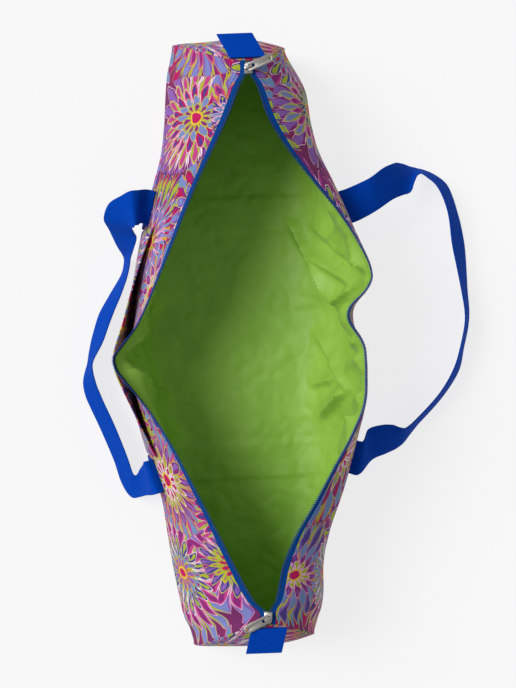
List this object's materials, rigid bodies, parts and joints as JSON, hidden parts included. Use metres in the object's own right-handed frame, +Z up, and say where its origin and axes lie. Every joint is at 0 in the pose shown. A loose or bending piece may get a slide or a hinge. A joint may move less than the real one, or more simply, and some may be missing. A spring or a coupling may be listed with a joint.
{
  "type": "mat carry bag",
  "caption": "Long soft zip-top bag for a rolled exercise mat, lying open, with slip pocket, webbing handles, end tabs and zip sliders.",
  "frame": {"origin": "middle of the flat base of the bag, on the ground", "axes": "+Z up, +Y along the bag to its far end, +X to the side without the pocket"},
  "size_m": [0.455, 0.686, 0.1569],
  "materials": {
    "printed_canvas": "matte woven canvas with an all-over multicolour flower print",
    "lining": "thin lime green lining with a slight sheen",
    "webbing": "ribbed royal blue webbing",
    "zip_tape": "woven royal blue zip tape",
    "zip_coil": "moulded coil in the colour of the tape",
    "zip_metal": "satin nickel plate"
  },
  "bodies": {
    "bag": {"body_panel": "printed_canvas", "end_panel_far": "printed_canvas", "end_panel_near": "printed_canvas", "pocket_panel": "printed_canvas", "lining_body": "lining", "lining_end_far": "lining", "lining_end_near": "lining", "zipper_tape_left": "zip_tape", "zipper_tape_right": "zip_tape", "zipper_coil_left": "zip_coil", "zipper_coil_right": "zip_coil", "strap_left": "webbing", "strap_right": "webbing", "end_tab_far": "webbing", "end_tab_near": "webbing", "zipper_slider_far": "zip_metal", "zipper_slider_near": "zip_metal"},
    "pull_far": {"zipper_pull_far": "zip_metal"},
    "pull_near": {"zipper_pull_near": "zip_metal"}
  },
  "joints": [
    {"name": "pull_far_swing", "type": "hinge", "parent": "bag", "child": "pull_far", "pos_m": [0.016, 0.289, 0.15411], "axis": [0.3584, -0.9336, 0], "range_deg": [0, 175]},
    {"name": "pull_near_swing", "type": "hinge", "parent": "bag", "child": "pull_near", "pos_m": [0.016, -0.29, 0.15411], "axis": [-0.4384, 0.8988, 0], "range_deg": [0, 175]}
  ]
}
